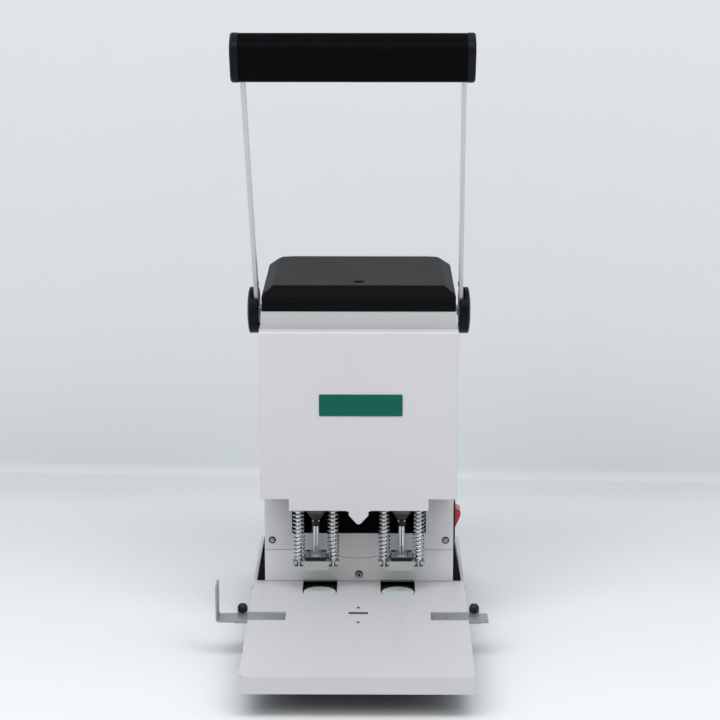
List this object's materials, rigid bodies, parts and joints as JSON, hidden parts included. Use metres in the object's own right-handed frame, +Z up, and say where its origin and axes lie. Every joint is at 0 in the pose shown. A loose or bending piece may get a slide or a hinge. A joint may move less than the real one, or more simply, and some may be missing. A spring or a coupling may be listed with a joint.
{
  "type": "electric hole punch",
  "caption": "Electric hole punch: a sheet-metal body with a bail handle that presses down a sprung drill head over a paper table.",
  "frame": {"origin": "on the table's top face, midway between the axes of the two drills", "axes": "+Z up along the drills, -Y towards the operator, +X to the operator's right"},
  "size_m": [0.247, 0.3993, 0.5667],
  "materials": {
    "white_paint": "satin white paint",
    "table_paint": "satin off-white paint",
    "strip_paint": "satin light grey paint",
    "black_paint": "matt black paint",
    "black_plastic": "satin black",
    "grip_rubber": "fine lengthwise ribs",
    "foot_rubber": "matt",
    "grey_plastic": "matt grey",
    "red_plastic": "glossy",
    "pad_plastic": "matt pale green-grey",
    "steel": "fine brushed",
    "arm_steel": "zinc plated",
    "rod_steel": "bright ground",
    "dark_steel": "black oxide",
    "cast_metal": "dark, as cast",
    "motor_paint": "dark enamel"
  },
  "bodies": {
    "machine": {"table": "table_paint", "base_pan": "black_paint", "rubber_foot_front_left": "foot_rubber", "rubber_foot_front_right": "foot_rubber", "rubber_foot_rear_left": "foot_rubber", "rubber_foot_rear_right": "foot_rubber", "left_side_panel": "white_paint", "right_side_panel": "white_paint", "column_front_plate": "white_paint", "paper_backstop": "white_paint", "upper_front_panel": "strip_paint", "front_cover": "white_paint", "top_cover": "black_plastic", "rear_cover": "white_paint", "power_inlet": "black_plastic", "switch_bezel": "black_plastic", "left_gusset": "black_plastic", "right_gusset": "black_plastic", "left_guide_column": "rod_steel", "right_guide_column": "rod_steel", "top_bridge": "cast_metal", "left_return_spring": "rod_steel", "right_return_spring": "rod_steel"},
    "drill_head": {"head_casting": "cast_metal", "motor": "motor_paint", "drive_belt": "foot_rubber", "head_rack": "steel", "left_outer_spring": "rod_steel", "left_inner_spring": "rod_steel", "right_outer_spring": "rod_steel", "right_inner_spring": "rod_steel"},
    "motor_rotor": {"motor_pulley": "steel"},
    "left_drill_unit": {"left_spindle": "dark_steel", "left_hollow_drill": "rod_steel"},
    "right_drill_unit": {"right_spindle": "dark_steel", "right_hollow_drill": "rod_steel"},
    "left_foot_unit": {"left_presser_foot": "steel", "left_foot_plate": "dark_steel", "left_outer_rod": "rod_steel", "left_inner_rod": "rod_steel"},
    "right_foot_unit": {"right_presser_foot": "steel", "right_foot_plate": "dark_steel", "right_outer_rod": "rod_steel", "right_inner_rod": "rod_steel"},
    "handle": {"left_arm": "arm_steel", "right_arm": "arm_steel", "left_pivot_cap": "black_plastic", "right_pivot_cap": "black_plastic", "left_grip_cap": "black_plastic", "right_grip_cap": "black_plastic", "grip_sleeve": "grip_rubber", "pinion_shaft": "steel"},
    "left_guide": {"left_paper_guide": "steel"},
    "right_guide": {"right_paper_guide": "steel"},
    "left_knob": {"left_thumb_knob": "black_plastic"},
    "right_knob": {"right_thumb_knob": "black_plastic"},
    "left_pad": {"left_cutting_pad": "pad_plastic"},
    "right_pad": {"right_cutting_pad": "pad_plastic"},
    "drawer": {"chip_drawer": "grey_plastic"},
    "rocker": {"power_rocker": "red_plastic"}
  },
  "joints": [
    {"name": "handle_swing", "type": "hinge", "parent": "machine", "child": "handle", "pos_m": [0, 0.035, 0.262], "axis": [1, 0, 0], "range_deg": [0, 75.6]},
    {"name": "head_slide", "type": "slide", "parent": "machine", "child": "drill_head", "axis": [0, 0, -1], "range_m": [0, 0.0231], "stiffness_N_per_m": 2500, "springref_m": -0.04, "deforming": ["left_return_spring", "right_return_spring"]},
    {"name": "left_foot_slide", "type": "slide", "parent": "drill_head", "child": "left_foot_unit", "axis": [0, 0, 1], "range_m": [0, 0.02], "stiffness_N_per_m": 1500, "springref_m": -0.01, "deforming": ["left_outer_spring", "left_inner_spring"]},
    {"name": "right_foot_slide", "type": "slide", "parent": "drill_head", "child": "right_foot_unit", "axis": [0, 0, 1], "range_m": [0, 0.02], "stiffness_N_per_m": 1500, "springref_m": -0.01, "deforming": ["right_outer_spring", "right_inner_spring"]},
    {"name": "left_drill_spin", "type": "hinge", "parent": "drill_head", "child": "left_drill_unit", "pos_m": [-0.04, 0, 0.1], "axis": [0, 0, 1], "continuous": true},
    {"name": "right_drill_spin", "type": "hinge", "parent": "drill_head", "child": "right_drill_unit", "pos_m": [0.04, 0, 0.1], "axis": [0, 0, 1], "continuous": true},
    {"name": "motor_spin", "type": "hinge", "parent": "drill_head", "child": "motor_rotor", "pos_m": [0, 0.048, 0.16], "axis": [0, 0, 1], "continuous": true},
    {"name": "left_guide_slide", "type": "slide", "parent": "machine", "child": "left_guide", "axis": [-1, 0, 0], "range_m": [0, 0.025]},
    {"name": "right_guide_slide", "type": "slide", "parent": "machine", "child": "right_guide", "axis": [1, 0, 0], "range_m": [0, 0.025]},
    {"name": "left_knob_turn", "type": "hinge", "parent": "machine", "child": "left_knob", "pos_m": [-0.106, -0.0585, 0], "axis": [0, 0, 1], "range_deg": [0, 360]},
    {"name": "right_knob_turn", "type": "hinge", "parent": "machine", "child": "right_knob", "pos_m": [0.106, -0.0585, 0], "axis": [0, 0, 1], "range_deg": [0, 360]},
    {"name": "left_pad_turn", "type": "hinge", "parent": "machine", "child": "left_pad", "pos_m": [-0.0367, -0.005, -0.002], "axis": [0, 0, 1], "continuous": true},
    {"name": "right_pad_turn", "type": "hinge", "parent": "machine", "child": "right_pad", "pos_m": [0.0367, -0.005, -0.002], "axis": [0, 0, 1], "continuous": true},
    {"name": "drawer_slide", "type": "slide", "parent": "machine", "child": "drawer", "axis": [0, 1, 0], "range_m": [0, 0.09]},
    {"name": "rocker_tip", "type": "hinge", "parent": "machine", "child": "rocker", "pos_m": [0.0864, 0.042, 0.0585], "axis": [0, -1, 0], "range_deg": [0, 18]}
  ],
  "couplings": [
    {"joint": "head_slide", "follows": "handle_swing", "m_per_rad": 0.0175},
    {"joint": "right_drill_spin", "follows": "left_drill_spin", "ratio": 1},
    {"joint": "motor_spin", "follows": "left_drill_spin", "ratio": 2}
  ]
}
